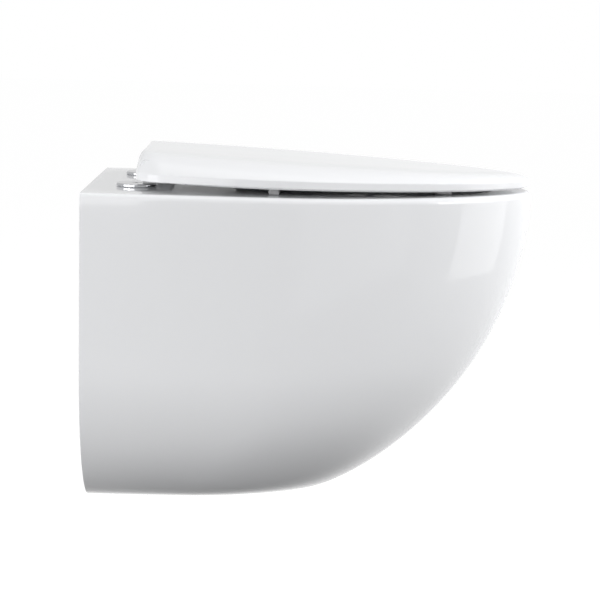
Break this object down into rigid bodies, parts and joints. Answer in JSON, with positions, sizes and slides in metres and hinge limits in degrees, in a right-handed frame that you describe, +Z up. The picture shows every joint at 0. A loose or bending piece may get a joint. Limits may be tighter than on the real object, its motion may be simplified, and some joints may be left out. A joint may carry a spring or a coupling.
{
  "type": "wall hung toilet",
  "caption": "Wall hung toilet: hollow glazed ceramic bowl with a built-in trap, hinged seat and a wedge-shaped wrap-over lid.",
  "frame": {"origin": "on the wall plane, midway between the two wall fixing holes", "axes": "+Z up, +Y into the wall, -Y towards the front tip, +X to the right seen from the front"},
  "size_m": [0.3506, 0.5199, 0.4126],
  "materials": {
    "ceramic": "gloss glaze",
    "cover_plastic": "gloss moulded duroplast",
    "soft_grey": "matt",
    "dark_rubber": "matt",
    "chrome": "polished",
    "hinge_plastic": "satin",
    "damper_grey": "satin",
    "brass": "plain",
    "nylon": "satin",
    "steel": "brushed"
  },
  "bodies": {
    "base": {"bowl": "ceramic", "inlet_seal": "dark_rubber", "fixing_anchor_left": "nylon", "clamp_screw_left": "steel", "hinge_bolt_left": "steel", "expansion_plug_left": "dark_rubber", "expansion_nut_left": "brass", "hinge_disc_left": "chrome", "hinge_block_left": "hinge_plastic", "fixing_anchor_right": "nylon", "clamp_screw_right": "steel", "hinge_bolt_right": "steel", "expansion_plug_right": "dark_rubber", "expansion_nut_right": "brass", "hinge_disc_right": "chrome", "hinge_block_right": "hinge_plastic", "seat_damper_spindle": "steel", "lid_damper_spindle": "steel", "seat_pivot_pin": "steel", "lid_pivot_pin": "steel"},
    "seat": {"seat_ring": "cover_plastic", "seat_bumpers": "soft_grey", "seat_damper_body": "damper_grey"},
    "cover": {"lid": "cover_plastic", "lid_bumpers": "soft_grey", "lid_damper_body": "damper_grey"}
  },
  "joints": [
    {"name": "seat_lift", "type": "hinge", "parent": "base", "child": "seat", "pos_m": [0, -0.07, 0.116], "axis": [-1, 0, 0], "range_deg": [0, 93]},
    {"name": "lid_lift", "type": "hinge", "parent": "seat", "child": "cover", "pos_m": [0, -0.07, 0.116], "axis": [-1, 0, 0], "range_deg": [0, 95]}
  ]
}
